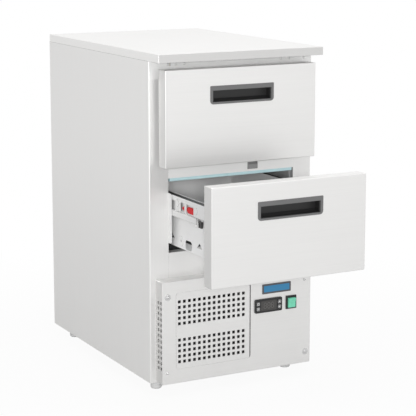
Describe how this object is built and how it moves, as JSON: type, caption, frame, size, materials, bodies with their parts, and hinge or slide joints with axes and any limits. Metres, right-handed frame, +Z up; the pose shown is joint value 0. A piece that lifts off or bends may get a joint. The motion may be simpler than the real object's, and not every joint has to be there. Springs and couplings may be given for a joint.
{
  "type": "counter refrigerator with drawers",
  "caption": "Narrow stainless counter fridge on low feet, with drawers on telescopic slides over a vented machine compartment with a thermostat and a switch.",
  "frame": {"origin": "on the floor, under the middle of the fridge as it stands with its lower drawer open", "axes": "+X to the right seen from the front, +Y to the back, +Z up; the drawers open towards -Y"},
  "size_m": [0.45, 0.8934, 0.835],
  "materials": {
    "stainless": "fine satin polish",
    "steel_inside": "satin sheet",
    "zinc": "zinc plated, dull",
    "dark_metal": "semi-gloss black paint",
    "copper": "bare copper pipe",
    "aluminium_fins": "thin bare fins",
    "foam": "cut foam",
    "grey_plastic": "fine moulded grain",
    "black_plastic": "fine moulded grain",
    "white_plastic": "moulded",
    "red_plastic": "moulded",
    "blue_plastic": "translucent look",
    "green_plastic": "translucent, lit from inside",
    "display": "smoked window",
    "seal_rubber": "soft extruded seal",
    "badge_paint": "plain printed plate"
  },
  "bodies": {
    "cabinet": {"worktop": "stainless", "left_side_panel": "stainless", "right_side_panel": "stainless", "back_panel": "zinc", "top_rail": "stainless", "cross_rail": "stainless", "cross_rail_strip": "blue_plastic", "rail_catch": "grey_plastic", "cabinet_deck": "stainless", "insulation": "foam", "inner_liner": "steel_inside", "base_tray": "zinc", "service_cover": "stainless", "condenser_grille": "stainless", "cover_screws": "stainless", "badge_plate": "badge_paint", "thermostat_housing": "grey_plastic", "thermostat_window": "display", "switch_housing": "black_plastic", "compressor": "dark_metal", "condenser_coil": "aluminium_fins", "condenser_fan_mount": "dark_metal", "refrigerant_pipes": "copper", "evaporator_coil": "aluminium_fins", "evaporator_cover": "steel_inside", "slide_uprights": "steel_inside", "slide_front_guides": "white_plastic", "fixed_rails": "steel_inside", "cord_gland": "black_plastic"},
    "lower_drawer": {"lower_front_skin": "stainless", "lower_front_core": "grey_plastic", "lower_gasket": "seal_rubber", "lower_handle": "grey_plastic", "lower_drawer_box": "steel_inside", "lower_drawer_rails": "steel_inside"},
    "lower_middle": {"lower_middle_rails": "steel_inside", "lower_slide_ends": "white_plastic"},
    "lower_left_lever": {"lower_left_lever": "red_plastic"},
    "lower_right_lever": {"lower_right_lever": "red_plastic"},
    "upper_drawer": {"upper_front_skin": "stainless", "upper_front_core": "grey_plastic", "upper_gasket": "seal_rubber", "upper_handle": "grey_plastic", "upper_drawer_box": "steel_inside", "upper_drawer_rails": "steel_inside"},
    "upper_middle": {"upper_middle_rails": "steel_inside", "upper_slide_ends": "white_plastic"},
    "upper_left_lever": {"upper_left_lever": "red_plastic"},
    "upper_right_lever": {"upper_right_lever": "red_plastic"},
    "key_upper_left": {"key_upper_left": "grey_plastic"},
    "key_lower_left": {"key_lower_left": "grey_plastic"},
    "key_upper_right": {"key_upper_right": "grey_plastic"},
    "key_lower_right": {"key_lower_right": "grey_plastic"},
    "switch_rocker": {"switch_rocker": "green_plastic"},
    "condenser_fan": {"condenser_fan_blade": "black_plastic"},
    "evaporator_fan": {"evaporator_fan_blade": "black_plastic"},
    "foot_front_left": {"foot_front_left": "stainless"},
    "foot_back_left": {"foot_back_left": "stainless"},
    "foot_front_right": {"foot_front_right": "stainless"},
    "foot_back_right": {"foot_back_right": "stainless"}
  },
  "joints": [
    {"name": "lower_drawer_slide", "type": "slide", "parent": "cabinet", "child": "lower_drawer", "axis": [0, -1, 0], "range_m": [-0.228, 0.222]},
    {"name": "lower_middle_slide", "type": "slide", "parent": "cabinet", "child": "lower_middle", "axis": [0, -1, 0], "range_m": [-0.1482, 0.1443]},
    {"name": "lower_left_lever_pivot", "type": "hinge", "parent": "lower_drawer", "child": "lower_left_lever", "pos_m": [-0.17, -0.25275, 0.472], "axis": [-1, 0, 0], "range_deg": [0, 6], "stiffness_Nm_per_rad": 0.2, "springref_deg": -5.73},
    {"name": "lower_right_lever_pivot", "type": "hinge", "parent": "lower_drawer", "child": "lower_right_lever", "pos_m": [0.17, -0.25275, 0.472], "axis": [-1, 0, 0], "range_deg": [0, 6], "stiffness_Nm_per_rad": 0.2, "springref_deg": -5.73},
    {"name": "upper_drawer_slide", "type": "slide", "parent": "cabinet", "child": "upper_drawer", "axis": [0, -1, 0], "range_m": [0, 0.45]},
    {"name": "upper_middle_slide", "type": "slide", "parent": "cabinet", "child": "upper_middle", "axis": [0, -1, 0], "range_m": [0, 0.2925]},
    {"name": "upper_left_lever_pivot", "type": "hinge", "parent": "upper_drawer", "child": "upper_left_lever", "pos_m": [-0.17, -0.02475, 0.7115], "axis": [-1, 0, 0], "range_deg": [0, 6], "stiffness_Nm_per_rad": 0.2, "springref_deg": -5.73},
    {"name": "upper_right_lever_pivot", "type": "hinge", "parent": "upper_drawer", "child": "upper_right_lever", "pos_m": [0.17, -0.02475, 0.7115], "axis": [-1, 0, 0], "range_deg": [0, 6], "stiffness_Nm_per_rad": 0.2, "springref_deg": -5.73},
    {"name": "key_upper_left_press", "type": "slide", "parent": "cabinet", "child": "key_upper_left", "axis": [0, 1, 0], "range_m": [0, 0.0006], "stiffness_N_per_m": 1500, "springref_m": -0.0004},
    {"name": "key_lower_left_press", "type": "slide", "parent": "cabinet", "child": "key_lower_left", "axis": [0, 1, 0], "range_m": [0, 0.0006], "stiffness_N_per_m": 1500, "springref_m": -0.0004},
    {"name": "key_upper_right_press", "type": "slide", "parent": "cabinet", "child": "key_upper_right", "axis": [0, 1, 0], "range_m": [0, 0.0006], "stiffness_N_per_m": 1500, "springref_m": -0.0004},
    {"name": "key_lower_right_press", "type": "slide", "parent": "cabinet", "child": "key_lower_right", "axis": [0, 1, 0], "range_m": [0, 0.0006], "stiffness_N_per_m": 1500, "springref_m": -0.0004},
    {"name": "switch_rocker_tilt", "type": "hinge", "parent": "cabinet", "child": "switch_rocker", "pos_m": [0.151, -0.20125, 0.196], "axis": [-1, 0, 0], "range_deg": [0, 18]},
    {"name": "condenser_fan_spin", "type": "hinge", "parent": "cabinet", "child": "condenser_fan", "pos_m": [-0.0725, -0.11925, 0.1285], "axis": [0, -1, 0], "continuous": true},
    {"name": "evaporator_fan_spin", "type": "hinge", "parent": "cabinet", "child": "evaporator_fan", "pos_m": [0, 0.36875, 0.6925], "axis": [0, -1, 0], "continuous": true},
    {"name": "foot_front_left_thread", "type": "slide", "parent": "cabinet", "child": "foot_front_left", "axis": [0, 0, -1], "range_m": [0, 0.02]},
    {"name": "foot_back_left_thread", "type": "slide", "parent": "cabinet", "child": "foot_back_left", "axis": [0, 0, -1], "range_m": [0, 0.02]},
    {"name": "foot_front_right_thread", "type": "slide", "parent": "cabinet", "child": "foot_front_right", "axis": [0, 0, -1], "range_m": [0, 0.02]},
    {"name": "foot_back_right_thread", "type": "slide", "parent": "cabinet", "child": "foot_back_right", "axis": [0, 0, -1], "range_m": [0, 0.02]}
  ],
  "couplings": [
    {"joint": "lower_middle_slide", "follows": "lower_drawer_slide", "ratio": 0.65},
    {"joint": "upper_middle_slide", "follows": "upper_drawer_slide", "ratio": 0.65}
  ]
}
